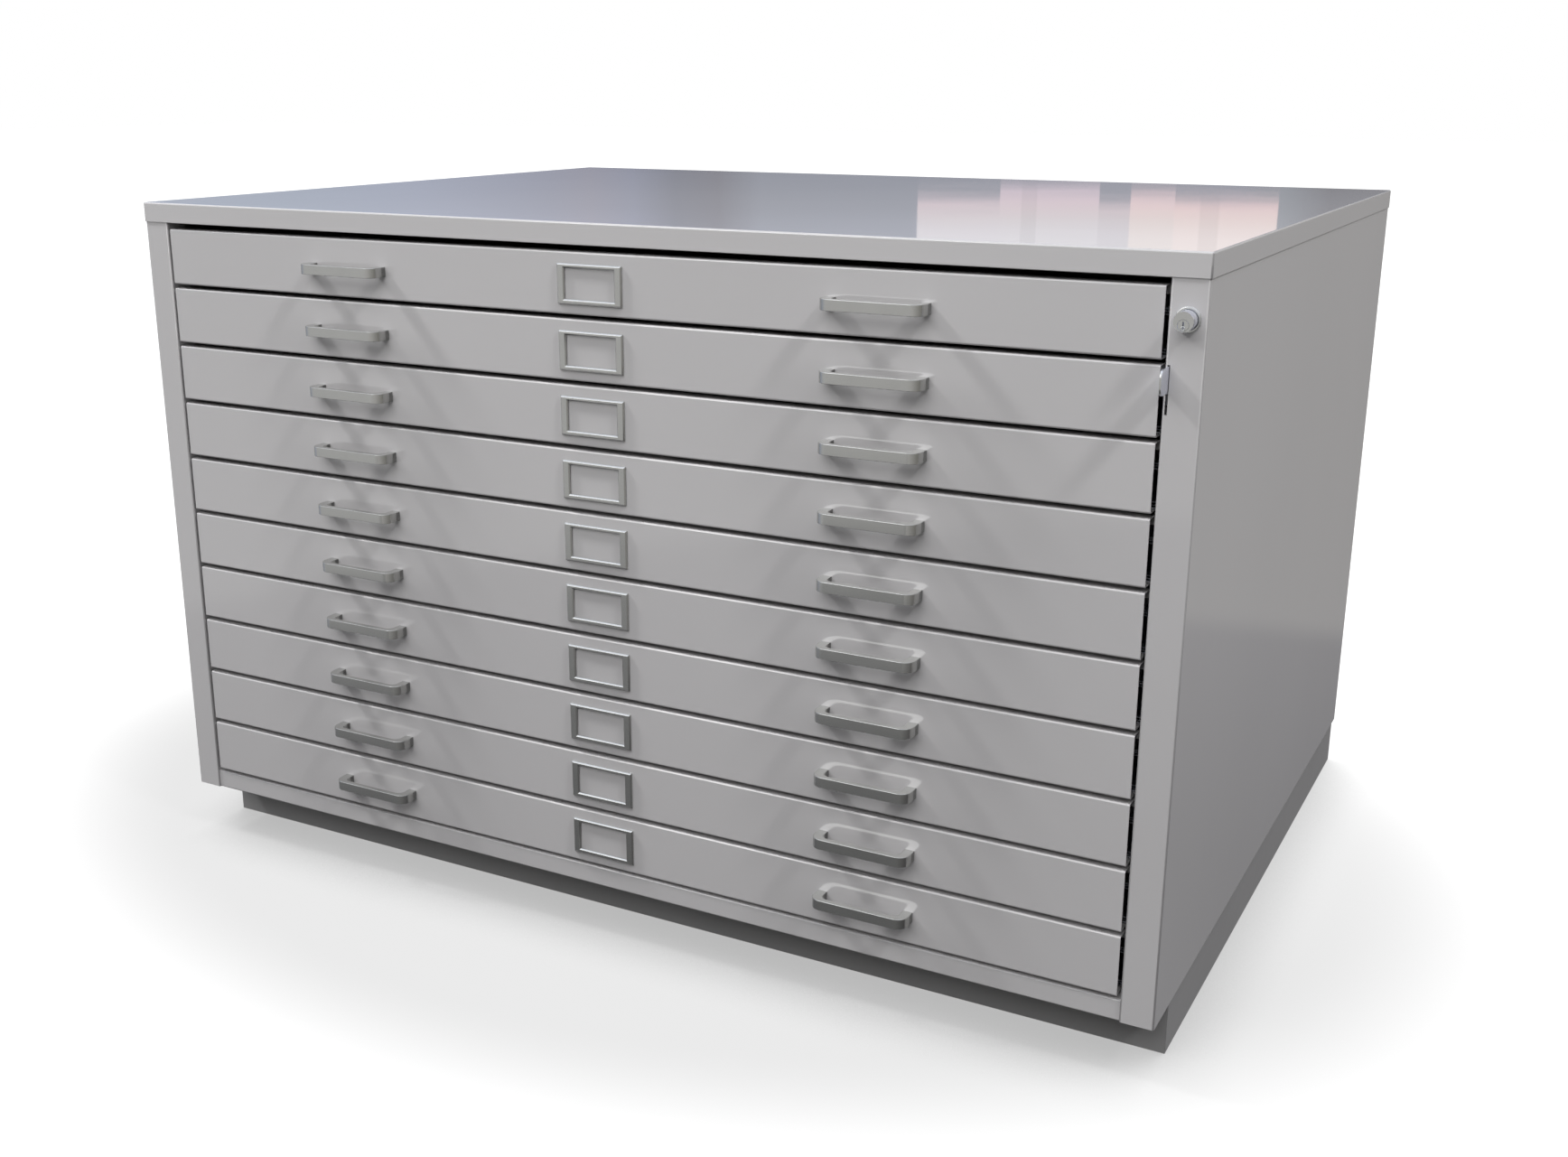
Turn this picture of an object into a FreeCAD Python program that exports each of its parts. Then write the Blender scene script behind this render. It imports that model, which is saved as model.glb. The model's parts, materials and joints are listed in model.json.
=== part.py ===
"""Flat file cabinet: a steel carcass on a plinth with ten shallow drawers for large sheets.

Millimetres, +Z up, drawers open towards -Y.  The origin is on the floor, under the middle
of the whole cabinet's box.  Drawer 01 is the top one.
"""
import FreeCAD, Part
import os
import re
import Sketcher
from FreeCAD import Rotation, Vector

DRAWERS = 10
LEFT, RIGHT = -1, 1

SIZES = {
    # carcass
    "body_width": 1350,
    "body_depth": 1014,
    "body_height": 771,
    "wall": 1.2,
    "bend": 2,
    "stile_width": 36.8,
    "stile_return": 30,
    "back_flange": 20,
    "rail_height": 24.5,
    "rail_setback": 1.5,
    "rail_depth": 28.5,
    "top_height": 24,
    "top_overhang": 1,
    "back_overhang": 2.5,
    "top_flange": 12,
    # plinth
    "plinth_height": 67,
    "plinth_recess": 71,
    "plinth_inset": 3,
    "plinth_sheet": 1.5,
    "plinth_flange": 22,
    # drawers
    "top_gap": 8,
    "drawer_pitch": 73.95,
    "front_height": 69,
    "front_gap": 4.1,
    "front_depth": 20,
    "front_lip": 10,
    "front_bend": 2.2,
    "tray_sheet": 1,
    "tray_rise": 6,
    "tray_height": 50,
    "tray_length": 968,
    # telescopic slides
    "slide_start": 23,
    "slide_length": 900,
    "slide_height": 45,
    "slide_width": 12.7,
    "slide_rise": 0.5,
    "slide_steel": 1.2,
    "channel_width": 9.5,
    "middle_height": 40,
    "middle_from": 1.8,
    "middle_to": 10.5,
    "rail_member_height": 34,
    "rail_member_from": 4.5,
    "post_depth": 30,
    # drawer fittings
    "handle_spacing": 690.8,
    "handle_length": 115.7,
    "handle_height": 11.8,
    "handle_reach": 24.4,
    "handle_bar": 7,
    "handle_leg": 11.4,
    "handle_outer_bend": 13,
    "handle_inner_bend": 8,
    "handle_rise": 33,
    "screw_head_radius": 4,
    "screw_head_height": 2.4,
    "card_width": 84.5,
    "card_height": 44.8,
    "card_side": 9.6,
    "card_upper": 5,
    "card_lower": 5.6,
    "card_thickness": 3,
    "card_slot": 1,
    "card_bevel": 1.4,
    "card_rise": 33.9,
    # lock and gang locking bar
    "lock_rise": 732.8,
    "lock_flange_radius": 12.4,
    "lock_flange": 2,
    "lock_sleeve_radius": 10.7,
    "lock_sleeve_length": 24,
    "lock_bore_radius": 9.85,
    "lock_hole_radius": 10.9,
    "lock_nut_radius": 13,
    "lock_nut_height": 5,
    "button_radius": 9.5,
    "button_reach": 18,
    "button_length": 42,
    "plug_radius": 5.2,
    "plug_clearance": 0.3,
    "plug_drop": 3.2,
    "plug_depth": 20,
    "keyway_width": 1.5,
    "keyway_height": 7,
    "keyway_depth": 8,
    "bar_offset": 2.5,
    "bar_sheet": 1.8,
    "bar_front": 8,
    "bar_depth": 18,
    "bar_margin": 14,
    "lever_reach": 26.2,
    "lever_height": 25.3,
    "lever_rise": 663.6,
    "lever_bend": 8,
    "lever_travel": 20,
    "slot_width": 2.6,
    "slot_margin": 1,
    "catch_reach": 3.8,
    "catch_depth": 8,
    "catch_height": 8,
    "catch_rise": 52,
    "window_margin": 2,
    "guide_height": 12,
    "guide_width": 6.1,
    "guide_clearance": 0.5,
}

# Places that many pieces share, as formulas of the sheet's sizes.
HALF_WIDTH = "(body_width / 2)"
FRONT = "((lever_reach - body_depth - back_overhang) / 2)"
BACK = f"({FRONT} + body_depth)"
BODY_TOP = "(plinth_height + body_height)"
STILE_EDGE = f"({HALF_WIDTH} - stile_width)"
FRONT_HALF = f"({STILE_EDGE} - front_gap)"
TRAY_HALF = f"({STILE_EDGE} - slide_width)"
LOCK_X = f"({HALF_WIDTH} - stile_width / 2)"
LOCK_Z = "(plinth_height + lock_rise)"
BAR_X = f"({STILE_EDGE} + bar_offset)"
BAR_Y = f"({FRONT} + bar_front)"
LEVER_Z = "(plinth_height + lever_rise)"
POST_BACK = f"({FRONT} + slide_start + slide_length - 2)"

ALONG_Y = Rotation(Vector(1, 0, 0), -90)
AXES = {"XY_Plane": (0, 1, 2), "XZ_Plane": (0, 2, 1), "YZ_Plane": (1, 2, 0)}
NEAR = 1e-4

doc = FreeCAD.newDocument("flat_file_cabinet")
nodes = {}


# ---------------------------------------------------------------- helpers

def fill_sheet():
    """The spreadsheet of driving dimensions, one alias a row."""
    sheet = doc.addObject("Spreadsheet::Sheet", "sizes")
    for row, (alias, number) in enumerate(SIZES.items(), start=1):
        sheet.set(f"A{row}", alias)
        sheet.set(f"B{row}", str(number))
        sheet.setAlias(f"B{row}", alias)
    doc.recompute()


def formula(text):
    """text with each size's name pointing at its cell."""
    def cell(word):
        return "sizes." + word.group() if word.group() in SIZES else word.group()
    return re.sub(r"[a-z]\w+", cell, str(text))


def bind(thing, **properties):
    for name, text in properties.items():
        thing.setExpression(name, formula(text))
    return thing


def place(thing, x="0", y="0", z="0", turn=None):
    if turn is not None:
        thing.Placement = FreeCAD.Placement(Vector(), turn)
    for axis, text in zip("xyz", (x, y, z)):
        thing.setExpression(f"Placement.Base.{axis}", formula(text))
    return thing


def block(name, x, y, z):
    """A box between two formulas along each axis."""
    box = doc.addObject("Part::Box", name)
    bind(
        box,
        Length=f"({x[1]}) - ({x[0]})",
        Width=f"({y[1]}) - ({y[0]})",
        Height=f"({z[1]}) - ({z[0]})",
    )
    return place(box, x[0], y[0], z[0])


def mirrored(side, near, far):
    """The X range from near to far on the right, or the same range on the left."""
    return (near, far) if side == RIGHT else (f"-({far})", f"-({near})")


def rod(name, radius, length, x, y, z, turn=ALONG_Y):
    cylinder = doc.addObject("Part::Cylinder", name)
    bind(cylinder, Radius=radius, Height=length)
    return place(cylinder, x, y, z, turn)


def cut(name, base, *tools):
    """base with every tool cut out of it, one after the other."""
    for number, tool in enumerate(tools, start=1):
        result = doc.addObject("Part::Cut", name if number == len(tools) else f"{name}_cut{number}")
        result.Base = base
        result.Tool = tool
        base = result
    return base


def fuse(name, *solids):
    union = doc.addObject("Part::MultiFuse", name)
    union.Shapes = list(solids)
    union.Refine = True
    return union


def group(name, *solids):
    """Separate solids that share one node."""
    compound = doc.addObject("Part::Compound", name)
    compound.Links = list(solids)
    return compound


def node(name, thing):
    thing.Label = name
    nodes[name] = thing
    return thing


def new_sketch(body, plane):
    sketch = body.newObject("Sketcher::SketchObject", body.Name + "_sketch")
    support = next(f for f in body.Origin.OriginFeatures if f.Role == plane)
    sketch.AttachmentSupport = [(support, "")]
    sketch.MapMode = "FlatFace"
    return sketch


def outline(sketch, points):
    """A closed loop of straight lines with each corner's two coordinates bound to the sheet."""
    first = sketch.GeometryCount
    count = len(points)
    for index in range(count):
        start = Vector(index + 1, index * index + 1, 0)
        sketch.addGeometry(Part.LineSegment(start, start + Vector(1, 2, 0)), False)
    for index in range(count):
        following = (index + 1) % count
        joined = Sketcher.Constraint("Coincident", first + index, 2, first + following, 1)
        sketch.addConstraint(joined)
    for index, corner in enumerate(points):
        for kind, text in zip(("DistanceX", "DistanceY"), corner):
            number = sketch.addConstraint(Sketcher.Constraint(kind, -1, 1, first + index, 1, 1.0))
            sketch.setExpression(f"Constraints[{number}]", formula(text))


def edges_through(shape, plane, corners):
    """Names of the edges that run square to the plane through these sketch corners."""
    across, up, along = AXES[plane]
    found = []
    for number, edge in enumerate(shape.Edges, start=1):
        start, end = edge.Vertexes[0].Point, edge.Vertexes[-1].Point
        if abs(start[across] - end[across]) > NEAR or abs(start[up] - end[up]) > NEAR:
            continue
        if any(abs(start[across] - c.x) < NEAR and abs(start[up] - c.y) < NEAR for c in corners):
            found.append(f"Edge{number}")
    return found


def folded(name, plane, points, length, rounds=(), centred=False):
    """A profile of sheet steel, padded along its length, with some of its folds rounded.

    rounds holds (radius formula, corner numbers) pairs.
    """
    body = doc.addObject("PartDesign::Body", name)
    sketch = new_sketch(body, plane)
    outline(sketch, points)
    pad = body.newObject("PartDesign::Pad", name + "_pad")
    pad.Profile = sketch
    pad.Midplane = centred
    bind(pad, Length=length)
    doc.recompute()
    corners = [sketch.Geometry[index].StartPoint for index in range(len(points))]
    last = pad
    for radius, numbers in rounds:
        fillet = body.newObject("PartDesign::Fillet", name + "_fold")
        fillet.Base = (last, edges_through(last.Shape, plane, [corners[i] for i in numbers]))
        bind(fillet, Radius=radius)
        doc.recompute()
        last = fillet
    sketch.Visibility = False
    return body


# ---------------------------------------------------------------- carcass

def make_top_panel():
    """A pan turned upside down: a flat top with a skirt and an inward flange all round."""
    x_edge = f"({HALF_WIDTH} + top_overhang)"
    y_front = f"({FRONT} - top_overhang)"
    y_back = f"({BACK} + back_overhang)"
    body = doc.addObject("PartDesign::Body", "top_blank")
    sketch = new_sketch(body, "XY_Plane")
    outline(sketch, [
        (f"-{x_edge}", y_front),
        (x_edge, y_front),
        (x_edge, y_back),
        (f"-{x_edge}", y_back),
    ])
    pad = body.newObject("PartDesign::Pad", "top_pad")
    pad.Profile = sketch
    bind(pad, Length="top_height")
    doc.recompute()
    height = pad.Shape.BoundBox.ZMax
    rounded = [
        f"Edge{number}" for number, edge in enumerate(pad.Shape.Edges, start=1)
        if edge.BoundBox.ZMax > height - NEAR
    ]
    fillet = body.newObject("PartDesign::Fillet", "top_edges")
    fillet.Base = (pad, rounded)
    bind(fillet, Radius="bend")
    place(body, z=BODY_TOP)
    doc.recompute()
    hollow = block(
        "top_hollow",
        (f"wall - {x_edge}", f"{x_edge} - wall"),
        (f"{y_front} + wall", f"{y_back} - wall"),
        (f"{BODY_TOP} + wall", f"{BODY_TOP} + top_height - wall"),
    )
    lip = "(wall + top_flange)"
    mouth = block(
        "top_mouth",
        (f"{lip} - {x_edge}", f"{x_edge} - {lip}"),
        (f"{y_front} + {lip}", f"{y_back} - {lip}"),
        (f"{BODY_TOP} - wall", f"{BODY_TOP} + 2 * wall"),
    )
    node("top_panel", cut("top_panel_solid", body, hollow, mouth))


def make_side_panel(name, side):
    """A side sheet folded round the front to make the stile, and back along the drawers."""
    skin = f"({HALF_WIDTH} - wall)"
    web = f"({STILE_EDGE} + wall)"
    flange = f"({HALF_WIDTH} - back_flange)"
    return_end = f"({FRONT} + stile_return)"
    profile = [
        (HALF_WIDTH, FRONT),
        (HALF_WIDTH, BACK),
        (flange, BACK),
        (flange, f"{BACK} - wall"),
        (skin, f"{BACK} - wall"),
        (skin, f"{FRONT} + wall"),
        (web, f"{FRONT} + wall"),
        (web, return_end),
        (STILE_EDGE, return_end),
        (STILE_EDGE, FRONT),
    ]
    points = [(f"{side} * ({x})", y) for x, y in profile]
    sheet = folded(name + "_sheet", "XY_Plane", points, "body_height", [("bend", (0, 1, 9))])
    place(sheet, z="plinth_height")
    foot = block(
        name + "_foot",
        mirrored(side, web, skin),
        (f"{FRONT} + wall", return_end),
        ("plinth_height", "plinth_height + wall"),
    )
    return fuse(name + "_folded", sheet, foot)


def lock_cutouts():
    """The lock's hole, the lever's slot and the catches' windows in the right stile."""
    hole = rod("lock_hole", "lock_hole_radius", "3 * wall", LOCK_X, f"{FRONT} - wall", LOCK_Z)
    slot_middle = f"({BAR_X} + bar_sheet / 2)"
    slot = block(
        "lever_slot",
        (f"{slot_middle} - slot_width / 2", f"{slot_middle} + slot_width / 2"),
        (f"{FRONT} - wall", f"{FRONT} + 2 * wall"),
        (f"{LEVER_Z} - lever_travel - slot_margin", f"{LEVER_Z} + lever_height + slot_margin"),
    )
    windows = []
    for number in range(1, DRAWERS + 1):
        catch = f"({drawer_bottom(number)} + catch_rise)"
        windows.append(block(
            f"catch_window_{number:02d}",
            (f"{STILE_EDGE} - wall", f"{STILE_EDGE} + 2 * wall"),
            (f"{BAR_Y} - window_margin", f"{BAR_Y} + catch_depth + window_margin"),
            (f"{catch} - lever_travel - window_margin", f"{catch} + catch_height + window_margin"),
        ))
    return [hole, slot, group("catch_windows", *windows)]


def make_carcass():
    node("side_panel_left", make_side_panel("side_panel_left", LEFT))
    right = make_side_panel("side_panel_right", RIGHT)
    node("side_panel_right", cut("side_panel_right_solid", right, *lock_cutouts()))
    inside = (f"wall - {HALF_WIDTH}", f"{HALF_WIDTH} - wall")
    node("back_panel", block(
        "back_sheet", inside, (f"{BACK} - 2 * wall", f"{BACK} - wall"), ("plinth_height", BODY_TOP)))
    floor_front = f"({FRONT} + rail_setback + rail_depth)"
    floor_back = f"({BACK} - 2 * wall)"
    floor = folded("floor_sheet", "YZ_Plane", [
        (floor_front, "0"),
        (floor_back, "0"),
        (floor_back, "rail_height"),
        (f"{floor_back} - wall", "rail_height"),
        (f"{floor_back} - wall", "wall"),
        (floor_front, "wall"),
    ], "body_width - 2 * wall", [("bend", (1,))], centred=True)
    node("bottom_panel", place(floor, z="plinth_height"))


def make_rails():
    """The cross rails between the stiles: a channel below the drawers, an angle above them."""
    face = f"({FRONT} + rail_setback)"
    back = f"({face} + rail_depth)"
    channel = folded("bottom_rail_sheet", "YZ_Plane", [
        (face, "0"),
        (back, "0"),
        (back, "wall"),
        (f"{face} + wall", "wall"),
        (f"{face} + wall", "rail_height - wall"),
        (back, "rail_height - wall"),
        (back, "rail_height"),
        (face, "rail_height"),
    ], f"2 * {STILE_EDGE}", [("bend", (0, 7))], centred=True)
    node("bottom_front_rail", place(channel, z="plinth_height"))
    near, far = f"({FRONT} + 4)", f"({FRONT} + 44)"
    angle = folded("top_rail_sheet", "YZ_Plane", [
        (near, "-wall"),
        (far, "-wall"),
        (far, "top_height - 4 * wall"),
        (f"{far} - wall", "top_height - 4 * wall"),
        (f"{far} - wall", "0"),
        (near, "0"),
    ], f"2 * {STILE_EDGE}", [("bend", (1,))], centred=True)
    node("top_front_rail", place(angle, z=BODY_TOP))


def plinth_profile(outer, inner):
    """A channel on edge, its web on the outer side and its flanges pointing inwards."""
    web = f"{outer} + ({inner} - {outer}) * plinth_sheet / plinth_flange"
    return [
        (outer, "0"),
        (inner, "0"),
        (inner, "plinth_sheet"),
        (web, "plinth_sheet"),
        (web, "plinth_height - plinth_sheet"),
        (inner, "plinth_height - plinth_sheet"),
        (inner, "plinth_height"),
        (outer, "plinth_height"),
    ]


def make_plinth():
    """Front and back rails whose faces cover the ends of the two side rails."""
    half = f"({HALF_WIDTH} - plinth_inset)"
    front = f"({FRONT} + plinth_recess)"
    back = f"({BACK} - plinth_inset)"
    for word, outer, inward in (("front", front, "plinth_sheet"), ("back", back, "-plinth_sheet")):
        profile = plinth_profile(outer, f"({outer} + ({inward}) * plinth_flange / plinth_sheet)")
        channel = folded(f"plinth_{word}_channel", "YZ_Plane", profile,
                         f"2 * ({half} - plinth_flange)", centred=True)
        inside = f"{outer} + ({inward})"
        face = block(
            f"plinth_{word}_face",
            (f"-{half}", half),
            (outer, inside) if word == "front" else (inside, outer),
            ("0", "plinth_height"),
        )
        node(f"plinth_{word}", fuse(f"plinth_{word}_rail", channel, face))
    sides = []
    for side, word in ((LEFT, "left"), (RIGHT, "right")):
        edge = f"({side} * {half})"
        profile = plinth_profile(edge, f"({edge} - {side} * plinth_flange)")
        rail = folded(f"plinth_{word}_sheet", "XZ_Plane", profile, f"{back} - {front} - 2 * plinth_sheet")
        sides.append(place(rail, y=f"{back} - plinth_sheet"))
    node("plinth_sides", group("plinth_sides_pair", *sides))


def make_rear_posts():
    """An upright channel in each rear corner that carries the slides' back ends."""
    posts = []
    for side, word in ((LEFT, "left"), (RIGHT, "right")):
        skin = f"({HALF_WIDTH} - wall)"
        near = f"({POST_BACK} - post_depth)"
        profile = [
            (STILE_EDGE, near),
            (skin, near),
            (skin, f"{near} + wall"),
            (f"{STILE_EDGE} + wall", f"{near} + wall"),
            (f"{STILE_EDGE} + wall", f"{POST_BACK} - wall"),
            (skin, f"{POST_BACK} - wall"),
            (skin, POST_BACK),
            (STILE_EDGE, POST_BACK),
        ]
        points = [(f"{side} * ({x})", y) for x, y in profile]
        post = folded(f"rear_post_{word}", "XY_Plane", points, "body_height - wall", [("bend", (0, 7))])
        posts.append(place(post, z="plinth_height + wall"))
    node("rear_posts", group("rear_posts_pair", *posts))


# ---------------------------------------------------------------- drawers

def drawer_bottom(number):
    """Height of the lower edge of a drawer's front."""
    return f"({BODY_TOP} - top_gap - front_height - {number - 1} * drawer_pitch)"


def slide_member(name, side, number, height, near, far, open_inwards):
    """One channel of a slide.  near and far are its X faces, counted from the stile's edge."""
    low = f"({drawer_bottom(number)} + slide_rise + (slide_height - {height}) / 2)"
    y_range = (f"{FRONT} + slide_start", f"{FRONT} + slide_start + slide_length")
    outside = mirrored(side, f"{STILE_EDGE} - {far}", f"{STILE_EDGE} - {near}")
    blank = block(name + "_blank", outside, y_range, (low, f"{low} + {height}"))
    if open_inwards:
        hollow = mirrored(side, f"{STILE_EDGE} - {far} - 1", f"{STILE_EDGE} - {near} - slide_steel")
    else:
        hollow = mirrored(side, f"{STILE_EDGE} - {far} + slide_steel", f"{STILE_EDGE} - {near} + 1")
    inner = block(
        name + "_hollow",
        hollow,
        (f"{y_range[0]} - 1", f"{y_range[1]} + 1"),
        (f"{low} + slide_steel", f"{low} + {height} - slide_steel"),
    )
    return cut(name, blank, inner)


def cabinet_channel(name, side, number):
    """A slide's outer channel as a web and two flanges, with room for the middle member between them."""
    low = f"({drawer_bottom(number)} + slide_rise)"
    high = f"({low} + slide_height)"
    along = (f"{FRONT} + slide_start", f"{FRONT} + slide_start + slide_length")
    across = mirrored(side, f"{STILE_EDGE} - channel_width", f"{STILE_EDGE} - slide_steel")
    web = mirrored(side, f"{STILE_EDGE} - slide_steel", STILE_EDGE)
    return [
        block(name + "_web", web, along, (low, high)),
        block(name + "_lower", across, along, (low, f"{low} + slide_steel")),
        block(name + "_upper", across, along, (f"{high} - slide_steel", high)),
    ]


def make_cabinet_channels():
    """The slides' outer channels, screwed to the stiles' returns and the rear posts."""
    for side, word in ((LEFT, "left"), (RIGHT, "right")):
        plates = []
        for number in range(1, DRAWERS + 1):
            plates += cabinet_channel(f"channel_{word}_{number:02d}", side, number)
        node(f"slide_channels_{word}", group(f"slide_channels_{word}_set", *plates))


def make_slide_middles(number):
    members = [
        slide_member(f"middle_{word}_{number:02d}", side, number,
                     "middle_height", "middle_from", "middle_to", True)
        for side, word in ((LEFT, "left"), (RIGHT, "right"))
    ]
    node(f"drawer_{number:02d}_slide_middles", group(f"slide_middles_{number:02d}", *members))


def drawer_front(number, low):
    """The front: a face folded back along its top and bottom, its two ends open, with a lip on the top fold."""
    height = "front_height"
    back = f"({FRONT} + front_depth)"
    face = folded(f"front_face_{number:02d}", "YZ_Plane", [
        (FRONT, "0"),
        (back, "0"),
        (back, "wall"),
        (f"{FRONT} + wall", "wall"),
        (f"{FRONT} + wall", f"{height} - wall"),
        (f"{back} - wall", f"{height} - wall"),
        (f"{back} - wall", f"{height} - front_lip"),
        (back, f"{height} - front_lip"),
        (back, height),
        (FRONT, height),
    ], f"2 * {FRONT_HALF}", [("front_bend", (0, 9)), ("bend", (8,))], centred=True)
    return place(face, z=low)


def drawer_tray(number, low):
    """The tray: a floor with two sides and a back, welded to the back of the front."""
    floor = f"({low} + tray_rise)"
    near, far = f"({FRONT} + wall)", f"({FRONT} + tray_length)"
    blank = block(
        f"tray_blank_{number:02d}",
        (f"-{TRAY_HALF}", TRAY_HALF),
        (near, far),
        (floor, f"{floor} + tray_height"),
    )
    hollow = block(
        f"tray_hollow_{number:02d}",
        (f"tray_sheet - {TRAY_HALF}", f"{TRAY_HALF} - tray_sheet"),
        (f"{near} - 1", f"{far} - tray_sheet"),
        (f"{floor} + tray_sheet", f"{floor} + tray_height + 1"),
    )
    return cut(f"tray_{number:02d}", blank, hollow)


def make_drawer_box(number, low):
    rails = [
        slide_member(f"rail_{word}_{number:02d}", side, number,
                     "rail_member_height", "rail_member_from", "slide_width", False)
        for side, word in ((LEFT, "left"), (RIGHT, "right"))
    ]
    box = group(f"box_{number:02d}", drawer_front(number, low), drawer_tray(number, low), *rails)
    node(f"drawer_{number:02d}_box", box)


def handle(number, low, centre, word):
    """A flat bar bent to a U, its feet against the drawer's front."""
    half, inner = "handle_length / 2", "(handle_length / 2 - handle_leg)"
    tip = f"({FRONT} - handle_reach)"
    bar = folded(f"handle_{word}_{number:02d}", "XY_Plane", [
        (f"{centre} - {half}", FRONT),
        (f"{centre} - {half}", tip),
        (f"{centre} + {half}", tip),
        (f"{centre} + {half}", FRONT),
        (f"{centre} + {inner}", FRONT),
        (f"{centre} + {inner}", f"{tip} + handle_bar"),
        (f"{centre} - {inner}", f"{tip} + handle_bar"),
        (f"{centre} - {inner}", FRONT),
    ], "handle_height", [("handle_outer_bend", (1, 2)), ("handle_inner_bend", (5, 6))])
    return place(bar, z=f"{low} + handle_rise - handle_height / 2")


def make_handles(number, low):
    """Two handles, and the heads of the four screws that hold them from inside the front."""
    pieces = []
    for side, word in ((LEFT, "left"), (RIGHT, "right")):
        centre = f"({side} * handle_spacing / 2)"
        pieces.append(handle(number, low, centre, word))
        for foot in (LEFT, RIGHT):
            pieces.append(rod(
                f"screw_{word}_{foot + 1}_{number:02d}",
                "screw_head_radius",
                "screw_head_height",
                f"{centre} + {foot} * (handle_length - handle_leg) / 2",
                f"{FRONT} + wall",
                f"{low} + handle_rise",
            ))
    node(f"drawer_{number:02d}_handles", group(f"handles_{number:02d}", *pieces))


def make_card_holder(number, low):
    """A bevelled frame with a slot behind its window where the card slides down."""
    body = doc.addObject("PartDesign::Body", f"card_frame_{number:02d}")
    sketch = new_sketch(body, "XZ_Plane")
    half, tall = "card_width / 2", "card_height / 2"
    outline(sketch, [(f"-{half}", f"-{tall}"), (half, f"-{tall}"), (half, tall), (f"-{half}", tall)])
    left, right = f"card_side - {half}", f"{half} - card_side"
    bottom, top = f"card_lower - {tall}", f"{tall} - card_upper"
    outline(sketch, [(left, bottom), (right, bottom), (right, top), (left, top)])
    pad = body.newObject("PartDesign::Pad", f"card_pad_{number:02d}")
    pad.Profile = sketch
    bind(pad, Length="card_thickness")
    doc.recompute()
    face = pad.Shape.BoundBox.YMin
    bevelled = [
        f"Edge{index}" for index, edge in enumerate(pad.Shape.Edges, start=1)
        if edge.BoundBox.YMax < face + NEAR
    ]
    chamfer = body.newObject("PartDesign::Chamfer", f"card_bevel_{number:02d}")
    chamfer.Base = (pad, bevelled)
    bind(chamfer, Size="card_bevel")
    middle = f"({low} + card_rise)"
    place(body, y=FRONT, z=middle)
    doc.recompute()
    slot = block(
        f"card_slot_{number:02d}",
        (f"{left} - card_side / 2", f"{right} + card_side / 2"),
        (f"{FRONT} - card_slot", f"{FRONT} + 1"),
        (f"{middle} + {bottom} - card_lower / 2", f"{middle} + {tall} + 1"),
    )
    node(f"drawer_{number:02d}_card_holder", cut(f"card_holder_{number:02d}", body, slot))


def make_drawers():
    for number in range(1, DRAWERS + 1):
        low = drawer_bottom(number)
        make_drawer_box(number, low)
        make_handles(number, low)
        make_card_holder(number, low)
        make_slide_middles(number)


# ---------------------------------------------------------------- lock and locking bar

def make_lock():
    face = f"({FRONT} - lock_flange)"
    flange = rod("lock_flange", "lock_flange_radius", "lock_flange", LOCK_X, face, LOCK_Z)
    sleeve = rod("lock_sleeve", "lock_sleeve_radius", "lock_sleeve_length", LOCK_X, FRONT, LOCK_Z)
    bore = rod("lock_bore", "lock_bore_radius", "lock_sleeve_length + 4 * lock_flange",
               LOCK_X, f"{face} - lock_flange", LOCK_Z)
    node("lock_housing", cut("lock_housing_solid", fuse("lock_casting", flange, sleeve), bore))
    ring = rod("nut_ring", "lock_nut_radius", "lock_nut_height", LOCK_X, f"{FRONT} + wall", LOCK_Z)
    thread = rod("nut_thread", "lock_sleeve_radius", "3 * lock_nut_height", LOCK_X, FRONT, LOCK_Z)
    node("lock_nut", cut("lock_nut_solid", ring, thread))
    make_lock_button()


def make_lock_button():
    """The sliding barrel, and the key plug that turns low down in its face."""
    tip = f"({FRONT} - button_reach)"
    plug_z = f"({LOCK_Z} - plug_drop)"
    barrel = rod("button_barrel", "button_radius", "button_length", LOCK_X, tip, LOCK_Z)
    socket = rod("plug_socket", "plug_radius + plug_clearance", "plug_depth + 1",
                 LOCK_X, f"{tip} - 1", plug_z)
    node("lock_button", cut("lock_button_solid", barrel, socket))
    plug = rod("plug_cylinder", "plug_radius", "plug_depth - plug_clearance", LOCK_X, tip, plug_z)
    keyway = block(
        "keyway",
        (f"{LOCK_X} - keyway_width / 2", f"{LOCK_X} + keyway_width / 2"),
        (f"{tip} - 1", f"{tip} + keyway_depth"),
        (f"{plug_z} - keyway_height / 2", f"{plug_z} + keyway_height / 2"),
    )
    node("lock_key_plug", cut("lock_key_plug_solid", plug, keyway))


def make_locking_bar():
    """A flat bar inside the right stile with one catch a drawer, and the tab that moves it."""
    strip = block(
        "bar_strip",
        (BAR_X, f"{BAR_X} + bar_sheet"),
        (BAR_Y, f"{BAR_Y} + bar_depth"),
        ("plinth_height + 2 * bar_margin", f"{BODY_TOP} - bar_margin"),
    )
    catches = []
    for number in range(1, DRAWERS + 1):
        low = f"({drawer_bottom(number)} + catch_rise)"
        catches.append(block(
            f"catch_{number:02d}", (f"{BAR_X} - catch_reach", BAR_X),
            (BAR_Y, f"{BAR_Y} + catch_depth"), (low, f"{low} + catch_height")))
    node("lock_bar", fuse("lock_bar_solid", strip, *catches))
    tip = f"({FRONT} - lever_reach)"
    tab = folded("lever_tab", "YZ_Plane", [
        (tip, "0"),
        (BAR_Y, "0"),
        (BAR_Y, "lever_height"),
        (tip, "lever_height"),
    ], "bar_sheet", [("lever_bend", (0, 3))])
    node("lock_lever", place(tab, x=BAR_X, z=LEVER_Z))


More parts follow.
